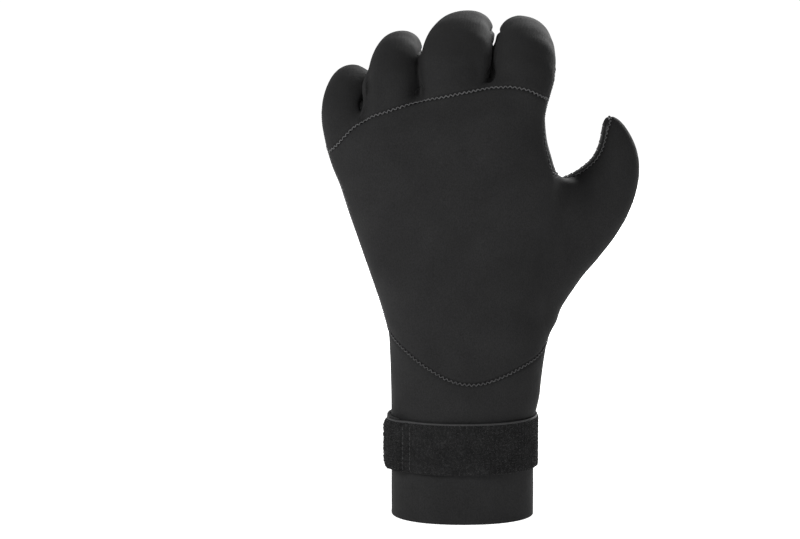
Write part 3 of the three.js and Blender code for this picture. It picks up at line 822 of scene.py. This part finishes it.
grip = Pile()
ridges(grip, ring_field, on_palm, GRIP_PITCH, GRIP_WIDTH, GRIP_HEIGHT, 6 * MM)
ridges(grip, thumb_field, on_thumb, THUMB_GRIP_PITCH, 1.3 * MM, 0.35 * MM, 5 * MM)
ridges(grip, finger_field, on_finger_roots, 3.8 * MM, 1.8 * MM, 0.45 * MM, 5 * MM)
pieces["grip_ridges"] = grip.done("grip_ridges")


# The straps round the cuff
def cuff_place(turn, offset):
    """Points round the cuff at turns in degrees, that far outside it."""
    angle = np.radians(turn)
    bent = lambda v: np.sign(v) * np.abs(v) ** (2 / CUFF_SQUARE)
    return (CUFF_HALF_WIDTH + offset) * bent(np.cos(angle)), (CUFF_HALF_DEPTH + offset) * bent(np.sin(angle))


def corner_cut(distance):
    """How much a rounded corner takes from the strap's height at a distance from its end."""
    left = STRAP_CORNER - np.minimum(distance, STRAP_CORNER)
    return STRAP_CORNER - np.sqrt(STRAP_CORNER ** 2 - left ** 2)


def strap(name, start, end, count, rows, inner_at, thick, relief, round_start=False):
    """A strap round the cuff as one closed form, with rounded edges and a relief on its outer face."""
    turn = np.linspace(start, end, count)
    if round_start:
        turn = start + (end - start) * np.linspace(0, 1, count) ** 1.15
    cut = corner_cut(np.radians(turn - start) * STRAP_GIRTH) if round_start else np.zeros(count)
    low = (STRAP_LOW + cut)[:, None]
    high = (STRAP_HIGH - cut)[:, None]
    share = 0.5 + 0.5 * np.cos(np.linspace(0, math.pi, rows))
    share = 0.25 * share + 0.75 * np.linspace(1, 0, rows)
    rise = low + (high - low) * share
    edge = np.minimum(rise - low, high - rise)
    ends = np.radians(np.minimum(turn - start, end - turn) + 0.4)[:, None] * STRAP_GIRTH
    crown = np.sqrt(1 - (1 - np.clip(np.minimum(edge, ends) / (0.8 * MM), 0, 1)) ** 2)
    inner = inner_at(turn)[:, None]
    out = inner + thick * (0.3 + 0.7 * crown) + relief(turn[:, None], rise) * crown
    x, y = cuff_place(turn[:, None], out)
    outer = np.stack([x, y, rise], -1)
    under = low + (high - low) * np.linspace(0, 1, 5)
    x, y = cuff_place(turn[:, None], inner + 0 * under)
    pile = Pile()
    pile.rings(np.concatenate([outer, np.stack([x, y, under], -1)], 1), False)
    return pile.done(name)


def loop_strap_inner(turn):
    lift = ELASTIC_THICK + STRAP_GAP
    return STRAP_GAP + lift * (1 - smoothstep(turn, LOBE_STITCH_TURN - 2, LOBE_STITCH_TURN + 9))


def elastic_inner(turn):
    return STRAP_GAP + (LOOP_STRAP_THICK + STRAP_GAP) * (1 - smoothstep(turn, 102, 118))


def woolly(turn, rise):
    """Unevenness of the looped face, below its smooth selvedge."""
    rough = rng.normal(0, 0.11 * MM, np.broadcast_shapes(turn.shape, rise.shape))
    rough = rough * np.where(turn < STITCH_TURNS[0] - 2, 2.0, 1.0)
    wide = 0.1 * MM * np.sin(turn * 0.9 + rise * 700) * np.sin(turn * 0.37)
    wool = smoothstep(STRAP_HIGH - rise, SELVEDGE * 0.6, SELVEDGE * 1.1)
    sewn = sum(np.exp(-(((turn - at) / 1.1) ** 2)) for at in STITCH_TURNS)
    return (rough + wide) * wool + 0.25 * MM * wool - 0.55 * MM * sewn


def ribbed(turn, rise):
    """Lengthwise ribs, with a faint weave across them."""
    ribs = RIB_HEIGHT * (np.abs(np.cos(math.pi * (rise - STRAP_LOW) / RIB_PITCH)) ** 0.7 - 0.5)
    weave = 0.04 * MM * np.sin(turn * 9) * np.cos(2 * math.pi * (rise - STRAP_LOW) / RIB_PITCH)
    return ribs + weave


def plain(turn, rise):
    return 0.03 * MM * np.sin(rise * 900) * np.sin(turn * 3)


pieces["fuzzy_strap"] = strap(
    "fuzzy_strap", LOBE_TURN, LOOP_STRAP_END, 340, 44, loop_strap_inner, LOOP_STRAP_THICK - 0.2 * MM, woolly, True
)
pieces["elastic_band"] = strap(
    "elastic_band", TAB_TURN + 24, LOBE_STITCH_TURN - 5, 170, 150, elastic_inner, ELASTIC_THICK - 0.1 * MM, ribbed
)
pieces["closure_tab"] = strap(
    "closure_tab", TAB_TURN, TAB_END, 60, 40, elastic_inner, TAB_THICK, plain, True
)
for name, node, slot in (
    ("fuzzy_strap", "loop_strap", "loop_pile"),
    ("elastic_band", "elastic_strap", "ribbed_elastic"),
    ("closure_tab", "hook_tab", "ribbed_elastic"),
):
    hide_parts(node)


def stitch_column(pile, turn, offset, length=1.7 * MM, pitch=2.4 * MM):
    """A column of short stitches up the strap."""
    x, y = cuff_place(np.array([turn - 0.2, turn, turn + 0.2]), offset)
    out = np.array([y[2] - y[0], x[0] - x[2], 0])
    out /= np.linalg.norm(out)
    circle = [(0.2 * MM * math.cos(a), 0.2 * MM * math.sin(a)) for a in np.linspace(0, 2 * math.pi, 6, endpoint=False)]
    share = np.linspace(0, 1, 7)
    for start in np.arange(STRAP_LOW + 1.4 * MM, STRAP_HIGH - 1.4 * MM - length, pitch):
        rise = 0.12 * MM - 0.4 * MM * np.abs(2 * share - 1) ** 4
        line = np.stack([x[1] + out[0] * rise, y[1] + out[1] * rise, start + share * length], 1)
        pile.strip(line, np.tile(out, (7, 1)), circle, False)


strap_stitches = Pile()
for turn in STITCH_TURNS:
    stitch_column(strap_stitches, turn, loop_strap_inner(turn) + LOOP_STRAP_THICK - 0.35 * MM)
for turn in (78.5, 83.0, 87.5):
    thick = TAB_THICK if turn < TAB_END else ELASTIC_THICK
    stitch_column(strap_stitches, turn, elastic_inner(turn) + thick)
pieces["strap_stitches"] = strap_stitches.done("strap_stitches")


# The looped strap's smooth woven edge, a fine cord along its top
turn = np.linspace(LOBE_TURN + 1, LOOP_STRAP_END - 1, 300)
cut = corner_cut(np.radians(turn - LOBE_TURN) * STRAP_GIRTH)
out = loop_strap_inner(turn) + LOOP_STRAP_THICK * 0.72
x, y = cuff_place(turn, out)
ahead_x, ahead_y = cuff_place(turn + 0.1, out)
up = np.stack([ahead_y - y, x - ahead_x, 0 * x], 1)
up /= np.linalg.norm(up, axis=1)[:, None]
edge_cord = Pile()
ring = np.linspace(0, 2 * math.pi, 8, endpoint=False)
circle = [(1.5 * SELVEDGE_CORD * math.cos(a), SELVEDGE_CORD * math.sin(a)) for a in ring]
edge_cord.strip(np.stack([x, y, STRAP_HIGH - cut - 0.35 * MM], 1), up, circle, False)
pieces["strap_edge"] = edge_cord.done("strap_edge")


# The pile: many small loops of thread that stand out of the surface
def loops(pile, places, up, size):
    """An arch of thread at each place, turned at random."""
    count = len(places)
    turned = rng.normal(size=(count, 3))
    ahead = turned - up * (turned * up).sum(1)[:, None]
    ahead /= np.linalg.norm(ahead, axis=1)[:, None]
    side = np.cross(ahead, up)
    lean = rng.normal(0, 0.35, (count, 1)) * side
    big = size * rng.uniform(0.6, 1.25, (count, 1, 1))
    arch = np.linspace(-0.15, 1.15, 4) * math.pi
    run = np.cos(arch)[None, :, None] * ahead[:, None] * 0.55
    rise = (np.sin(arch)[None, :, None] * 0.8 + 0.2) * (up + lean)[:, None]
    line = places[:, None] + (run + rise) * big
    ring = np.linspace(0, 2 * math.pi, 3, endpoint=False)
    outward = run / 0.55 + np.sin(arch)[None, :, None] * up[:, None]
    across = np.cos(ring)[None, None, :, None] * outward[:, :, None] * PILE_THREAD
    across = across + np.sin(ring)[None, None, :, None] * side[:, None, None] * PILE_THREAD
    pile.tubes(line[:, :, None] + across)


def scattered(co, tri, count):
    """Places spread evenly over triangles, and the normals there."""
    a, b, c = (co[tri[:, k]] for k in range(3))
    face = np.cross(b - a, c - a)
    area = np.linalg.norm(face, axis=1)
    pick = rng.choice(len(tri), count, p=area / area.sum())
    u, v = rng.uniform(size=(2, count, 1))
    u, v = np.where(u + v > 1, 1 - u, u), np.where(u + v > 1, 1 - v, v)
    return a[pick] + u * (b - a)[pick] + v * (c - a)[pick], face[pick] / area[pick][:, None]


panel_pile = Pile()
places, up = scattered(skin_co, skin_tri[label == LOOPS], PANEL_LOOPS)
loops(panel_pile, places, up, PILE_SIZE)
pieces["panel_pile"] = panel_pile.done("panel_pile")

strap_pile = Pile()
turn = np.repeat(np.arange(LOBE_TURN + 3, LOOP_STRAP_END - 2, 3.6), 1 + STRAP_LOOPS // 75)[:STRAP_LOOPS]
turn = turn + rng.normal(0, 0.75, len(turn))
cut = corner_cut(np.radians(np.maximum(turn - LOBE_TURN, 0.5)) * STRAP_GIRTH)
rise = STRAP_LOW + cut + 0.6 * MM + (STRAP_HIGH - STRAP_LOW - SELVEDGE - 2 * cut) * rng.uniform(size=len(turn))
out = loop_strap_inner(turn) + LOOP_STRAP_THICK
x, y = cuff_place(turn, out)
ahead_x, ahead_y = cuff_place(turn + 0.1, out)
up = np.stack([ahead_y - y, x - ahead_x, 0 * x], 1)
pile_size = PILE_SIZE * np.where(turn < STITCH_TURNS[0], 1.1, 0.72)[:, None, None]
loops(strap_pile, np.stack([x, y, rise], 1), up / np.linalg.norm(up, axis=1)[:, None], pile_size)
pieces["strap_pile"] = strap_pile.done("strap_pile")

for name in list(pieces)[len(NAMES):]:
    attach(pieces[name], "root")


# Materials
class Finish:
    """A Principled material whose colour, roughness and bump come from procedural textures in object space."""

    def __init__(self, name, roughness, specular, sheen=0.0):
        self.made = bpy.data.materials.new(name)
        self.made.use_nodes = True
        self.nodes = self.made.node_tree.nodes
        self.links = self.made.node_tree.links
        self.shader = self.nodes["Principled BSDF"]
        self.shader.inputs["Roughness"].default_value = roughness
        self.shader.inputs["Specular IOR Level"].default_value = specular
        self.shader.inputs["Sheen Weight"].default_value = sheen
        self.shader.inputs["Sheen Roughness"].default_value = 0.45
        self.place = self.nodes.new("ShaderNodeTexCoord").outputs["Object"]
        self.bump = None

    def noise(self, scale, detail=2, stretch=(1, 1, 1)):
        """Noise of that many cells a metre."""
        mapping = self.nodes.new("ShaderNodeMapping")
        mapping.inputs["Scale"].default_value = stretch
        self.links.new(self.place, mapping.inputs["Vector"])
        node = self.nodes.new("ShaderNodeTexNoise")
        node.inputs["Scale"].default_value = scale
        node.inputs["Detail"].default_value = detail
        self.links.new(mapping.outputs["Vector"], node.inputs["Vector"])
        return node.outputs["Fac"]

    def bands(self, pitch, direction, distortion=0.0):
        """Waves of that pitch in metres across one axis."""
        node = self.nodes.new("ShaderNodeTexWave")
        node.bands_direction = direction
        node.inputs["Scale"].default_value = math.pi / (10 * pitch)
        node.inputs["Distortion"].default_value = distortion
        node.inputs["Detail"].default_value = 1
        node.inputs["Detail Scale"].default_value = 2
        self.links.new(self.place, node.inputs["Vector"])
        return node.outputs["Fac"]

    def between(self, fac, low, high, to_low, to_high):
        """A value that goes from to_low to to_high as the texture goes from low to high."""
        node = self.nodes.new("ShaderNodeMapRange")
        for key, value in (("From Min", low), ("From Max", high), ("To Min", to_low), ("To Max", to_high)):
            node.inputs[key].default_value = value
        self.links.new(fac, node.inputs["Value"])
        return node.outputs["Result"]

    def both(self, how, one, other):
        """The sum or product of two values."""
        node = self.nodes.new("ShaderNodeMath")
        node.operation = how
        self.links.new(one, node.inputs[0])
        self.links.new(other, node.inputs[1])
        return node.outputs["Value"]

    def product(self, one, other):
        return self.both("MULTIPLY", one, other)

    def height(self):
        """How far up the glove the place is."""
        node = self.nodes.new("ShaderNodeSeparateXYZ")
        self.links.new(self.place, node.inputs["Vector"])
        return node.outputs["Z"]

    def colour(self, value, tint=(1.0, 1.0, 1.02)):
        """The base colour from a brightness texture."""
        joined = self.nodes.new("ShaderNodeCombineColor")
        for axis, share in zip(("Red", "Green", "Blue"), tint):
            scaled = self.nodes.new("ShaderNodeMath")
            scaled.operation = "MULTIPLY"
            scaled.inputs[1].default_value = share
            self.links.new(value, scaled.inputs[0])
            self.links.new(scaled.outputs["Value"], joined.inputs[axis])
        self.links.new(joined.outputs["Color"], self.shader.inputs["Base Color"])

    def rough(self, value):
        self.links.new(value, self.shader.inputs["Roughness"])

    def raised(self, fac, height):
        """One more layer of bump, that many metres high."""
        node = self.nodes.new("ShaderNodeBump")
        node.inputs["Strength"].default_value = 1
        node.inputs["Distance"].default_value = height
        self.links.new(fac, node.inputs["Height"])
        if self.bump is not None:
            self.links.new(self.bump, node.inputs["Normal"])
        self.bump = node.outputs["Normal"]
        self.links.new(self.bump, self.shader.inputs["Normal"])


def knit(name, dark, light, roughness, specular, sheen):
    """Stretch jersey bonded to foam rubber: fine wales, soft blotches and a faint sheen."""
    made = Finish(name, roughness, specular, sheen)
    blotches = made.between(made.noise(38, 3), 0.32, 0.68, 0.88, 1.14)
    yarn = made.between(made.noise(2300, 2, (1, 1, 0.6)), 0.3, 0.7, dark, light)
    made.colour(made.product(yarn, blotches))
    made.rough(made.between(made.noise(90, 2), 0.3, 0.7, roughness - 0.06, roughness + 0.05))
    made.raised(made.noise(45, 3), 0.35 * MM)
    made.raised(made.bands(0.7 * MM, "X", 1.5), 0.03 * MM)
    made.raised(made.noise(2300, 2, (1, 1, 0.6)), 0.05 * MM)
    return made.made


def smooth_rubber(name, dark, light, roughness, spread, specular, pores):
    """Smooth rubber with a patchy gloss and fine pores, duller over the fingers."""
    made = Finish(name, roughness, specular)
    made.colour(made.between(made.noise(60, 3), 0.3, 0.7, dark, light))
    patchy = made.between(made.noise(210, 4), 0.3, 0.7, roughness - spread, roughness + spread)
    made.rough(made.both("ADD", patchy, made.between(made.height(), 0.190, 0.212, 0.0, 0.4)))
    made.raised(made.noise(120, 3), 0.2 * MM)
    made.raised(made.noise(1500, 2), pores)
    return made.made


def pile_ground(name, dark, light):
    """The ground under the loops: dark, with lighter specks of thread."""
    made = Finish(name, 0.95, 0.1)
    specks = made.between(made.noise(900, 3), 0.5, 0.72, dark, light)
    made.colour(made.product(specks, made.between(made.noise(120, 3), 0.3, 0.7, 0.75, 1.25)))
    made.raised(made.noise(800, 3), 0.5 * MM)
    return made.made


def yarn(name, dark, light):
    """Spun thread."""
    made = Finish(name, 0.7, 0.25, 0.1)
    made.colour(made.between(made.noise(1100, 2), 0.3, 0.7, dark, light))
    made.raised(made.noise(4000, 2, (1, 1, 0.4)), 0.04 * MM)
    return made.made


def woven(name, dark, light):
    """Elastic webbing: cross threads over the ribs."""
    made = Finish(name, 0.72, 0.22, 0.05)
    threads = made.between(made.bands(0.8 * MM, "X", 0.6), 0.0, 1.0, 0.85, 1.12)
    worn = made.between(made.noise(150, 3), 0.3, 0.7, dark, light)
    made.colour(made.product(worn, threads))
    made.raised(made.bands(0.8 * MM, "X", 0.6), 0.05 * MM)
    made.raised(made.noise(1500, 2), 0.05 * MM)
    return made.made


FINISHES = {
    "jersey": knit("jersey", 0.0098, 0.0155, 0.85, 0.1, 0.015),
    "grip_palm": smooth_rubber("grip_palm", 0.0075, 0.0115, 0.46, 0.07, 0.22, 0.02 * MM),
    "grip_print": smooth_rubber("grip_print", 0.009, 0.013, 0.24, 0.06, 0.45, 0.008 * MM),
    "loop_ground": pile_ground("loop_ground", 0.004, 0.017),
    "loop_thread": yarn("loop_thread", 0.006, 0.024),
    "strap_ground": pile_ground("strap_ground", 0.0085, 0.02),
    "strap_thread": yarn("strap_thread", 0.009, 0.022),
    "edge_cord": yarn("edge_cord", 0.019, 0.027),
    "elastic": woven("elastic", 0.013, 0.02),
    "stitch": yarn("stitch", 0.05, 0.09),
    "quiet_stitch": yarn("quiet_stitch", 0.03, 0.048),
}
LOOKS = {
    "hand_back_panel": "jersey",
    "finger_back_panel": "jersey",
    "palm_panel": "grip_palm",
    "cuff_panel": "jersey",
    "cuff_loop_panel": "loop_ground",
    "seam_thread": "stitch",
    "wrist_thread": "quiet_stitch",
    "panel_thread": "quiet_stitch",
    "grip_ridges": "grip_print",
    "fuzzy_strap": "strap_ground",
    "elastic_band": "elastic",
    "closure_tab": "elastic",
    "strap_stitches": "quiet_stitch",
    "strap_edge": "edge_cord",
    "panel_pile": "loop_thread",
    "strap_pile": "strap_thread",
}
for name, obj in pieces.items():
    obj.data.materials.append(FINISHES[LOOKS[name]])

camera_data = bpy.data.cameras.new("camera")
camera_data.lens = 112.5
camera_data.sensor_width = 36
camera = bpy.data.objects.new("camera", camera_data)
bpy.context.scene.collection.objects.link(camera)
target = Vector((-0.030, 0.0, 0.119))
tilt = math.radians(8)
camera.location = target + Vector((0, -math.cos(tilt), math.sin(tilt))) * 1.2
camera.rotation_euler = (math.pi / 2 - tilt, 0, 0)
bpy.context.scene.camera = camera


def area_light(name, place, aim, size, power):
    data = bpy.data.lights.new(name, "AREA")
    data.shape = "DISK"
    data.size = size
    data.energy = power
    obj = bpy.data.objects.new(name, data)
    obj.location = place
    obj.rotation_euler = (Vector(aim) - Vector(place)).to_track_quat("-Z", "Y").to_euler()
    bpy.context.scene.collection.objects.link(obj)


area_light("key", (-1.2, -1.1, 1.2), (0, 0, 0.12), 0.7, 30)
area_light("fill", (0.9, -1.3, 0.3), (0, 0, 0.12), 1.0, 1.5)
area_light("palm_light", (0.6, 1.3, 0.75), (0, 0, 0.12), 0.5, 24)

# The surroundings light the glove softly and show as plain white
world = bpy.data.worlds.new("world")
world.use_nodes = True
tree_of_world = world.node_tree
sky = tree_of_world.nodes["Background"]
seen = tree_of_world.nodes.new("ShaderNodeLightPath")
strength = tree_of_world.nodes.new("ShaderNodeMapRange")
strength.inputs["To Min"].default_value = 0.36
strength.inputs["To Max"].default_value = 1.0
tree_of_world.links.new(seen.outputs["Is Camera Ray"], strength.inputs["Value"])
tree_of_world.links.new(strength.outputs["Result"], sky.inputs["Strength"])
sky.inputs["Color"].default_value = (1, 1, 1, 1)
bpy.context.scene.world = world

# White studio paper, bright enough to show as plain white
SWEEP = 12.0
paper = bpy.data.materials.new("floor_paper")
paper.use_nodes = True
shader = paper.node_tree.nodes["Principled BSDF"]
shader.inputs["Base Color"].default_value = (0.85, 0.85, 0.85, 1)
shader.inputs["Roughness"].default_value = 0.9
shader.inputs["Specular IOR Level"].default_value = 0.0
shader.inputs["Emission Color"].default_value = (1, 1, 1, 1)
shader.inputs["Emission Strength"].default_value = 0.72
floor = new_object(
    "floor", [(-SWEEP, -SWEEP, 0), (SWEEP, -SWEEP, 0), (SWEEP, SWEEP, 0), (-SWEEP, SWEEP, 0)], [(0, 1, 2, 3)]
)
floor.data.materials.append(paper)
floor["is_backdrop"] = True

bpy.context.scene.view_settings.view_transform = "Standard"
corners = lambda pair: [list(pair[0]), list(pair[1])]
{"cad": corners(cad_box), "visual": corners(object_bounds())}
